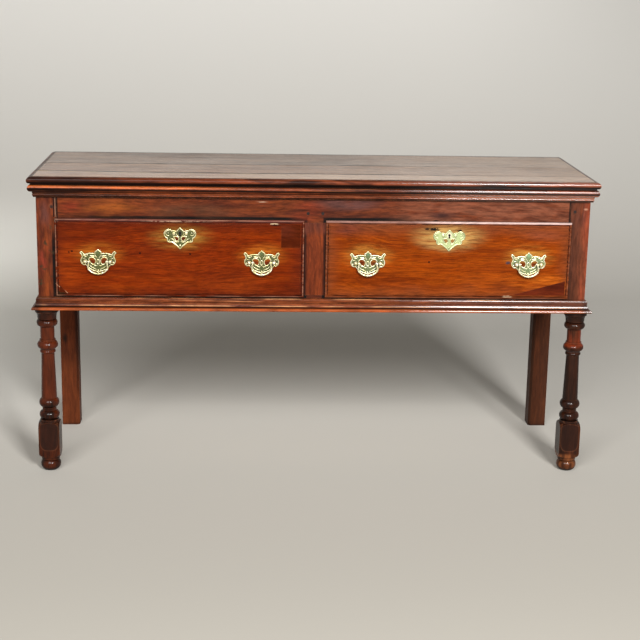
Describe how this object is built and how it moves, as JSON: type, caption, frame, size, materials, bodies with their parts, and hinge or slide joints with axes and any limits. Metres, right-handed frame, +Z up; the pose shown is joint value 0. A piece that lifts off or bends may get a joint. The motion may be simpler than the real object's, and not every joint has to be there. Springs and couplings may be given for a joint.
{
  "type": "dresser base",
  "caption": "Low oak dresser base: boarded top on moulded frame, lipped drawers with pierced brass bail handles, turned front legs, plain square rear legs.",
  "frame": {"origin": "on the floor, under the middle of the top", "axes": "+X to the right along the front, the drawers face -Y, +Z up"},
  "size_m": [1.466, 0.48, 0.795],
  "materials": {
    "top_oak": "waxed, worn",
    "dark_oak": "waxed, dark patina",
    "frame_oak": "waxed, dark patina",
    "drawer_oak_left": "waxed, polished",
    "drawer_oak_right": "waxed, polished",
    "plain_oak": "dry, unpolished",
    "brass": "aged, lightly tarnished",
    "iron": "dull, blackened"
  },
  "bodies": {
    "carcass": {"top_front_board": "top_oak", "top_middle_board": "top_oak", "top_back_board": "top_oak", "cornice_front": "dark_oak", "cornice_left": "dark_oak", "cornice_right": "dark_oak", "waist_front": "dark_oak", "waist_left": "dark_oak", "waist_right": "dark_oak", "front_leg_left": "dark_oak", "front_leg_right": "dark_oak", "front_post_left": "frame_oak", "front_post_right": "frame_oak", "rear_leg_left": "dark_oak", "rear_leg_right": "dark_oak", "top_rail": "frame_oak", "bottom_rail": "frame_oak", "muntin": "frame_oak", "side_board_left": "dark_oak", "side_board_right": "dark_oak", "back_board": "plain_oak", "runner_left": "plain_oak", "runner_centre": "plain_oak", "runner_right": "plain_oak", "kicker_left": "plain_oak", "kicker_centre": "plain_oak", "kicker_right": "plain_oak", "frame_pegs": "plain_oak"},
    "drawer_left": {"drawer_front_left": "drawer_oak_left", "drawer_side_left_a": "plain_oak", "drawer_side_left_b": "plain_oak", "drawer_back_left": "plain_oak", "drawer_bottom_left": "plain_oak", "patches_left": "drawer_oak_left", "lock_case_left": "iron", "escutcheon_left": "brass", "plate_pins_left": "brass", "back_plate_left_a": "brass", "back_plate_left_b": "brass", "handle_posts_left": "brass", "post_nuts_left": "brass"},
    "drawer_right": {"drawer_front_right": "drawer_oak_right", "drawer_side_right_a": "plain_oak", "drawer_side_right_b": "plain_oak", "drawer_back_right": "plain_oak", "drawer_bottom_right": "plain_oak", "patch_right": "drawer_oak_right", "lock_case_right": "iron", "escutcheon_right": "brass", "plate_pins_right": "brass", "back_plate_right_a": "brass", "back_plate_right_b": "brass", "handle_posts_right": "brass", "post_nuts_right": "brass"},
    "lock_bolt_left": {"lock_bolt_left": "iron"},
    "lock_bolt_right": {"lock_bolt_right": "iron"},
    "bail_left_a": {"bail_left_a": "brass"},
    "bail_left_b": {"bail_left_b": "brass"},
    "bail_right_a": {"bail_right_a": "brass"},
    "bail_right_b": {"bail_right_b": "brass"}
  },
  "joints": [
    {"name": "drawer_left_slide", "type": "slide", "parent": "carcass", "child": "drawer_left", "axis": [0, -1, 0], "range_m": [0, 0.33]},
    {"name": "bail_left_a_swing", "type": "hinge", "parent": "drawer_left", "child": "bail_left_a", "pos_m": [-0.5575, -0.2338, 0.577], "axis": [-1, 0, 0], "range_deg": [-8, 165]},
    {"name": "bail_left_b_swing", "type": "hinge", "parent": "drawer_left", "child": "bail_left_b", "pos_m": [-0.1375, -0.2338, 0.577], "axis": [-1, 0, 0], "range_deg": [-8, 165]},
    {"name": "lock_bolt_left_throw", "type": "slide", "parent": "drawer_left", "child": "lock_bolt_left", "axis": [0, 0, 1], "range_m": [0, 0.008]},
    {"name": "drawer_right_slide", "type": "slide", "parent": "carcass", "child": "drawer_right", "axis": [0, -1, 0], "range_m": [0, 0.33]},
    {"name": "bail_right_a_swing", "type": "hinge", "parent": "drawer_right", "child": "bail_right_a", "pos_m": [0.1375, -0.2338, 0.577], "axis": [-1, 0, 0], "range_deg": [-8, 165]},
    {"name": "bail_right_b_swing", "type": "hinge", "parent": "drawer_right", "child": "bail_right_b", "pos_m": [0.5575, -0.2338, 0.577], "axis": [-1, 0, 0], "range_deg": [-8, 165]},
    {"name": "lock_bolt_right_throw", "type": "slide", "parent": "drawer_right", "child": "lock_bolt_right", "axis": [0, 0, 1], "range_m": [0, 0.008]}
  ]
}
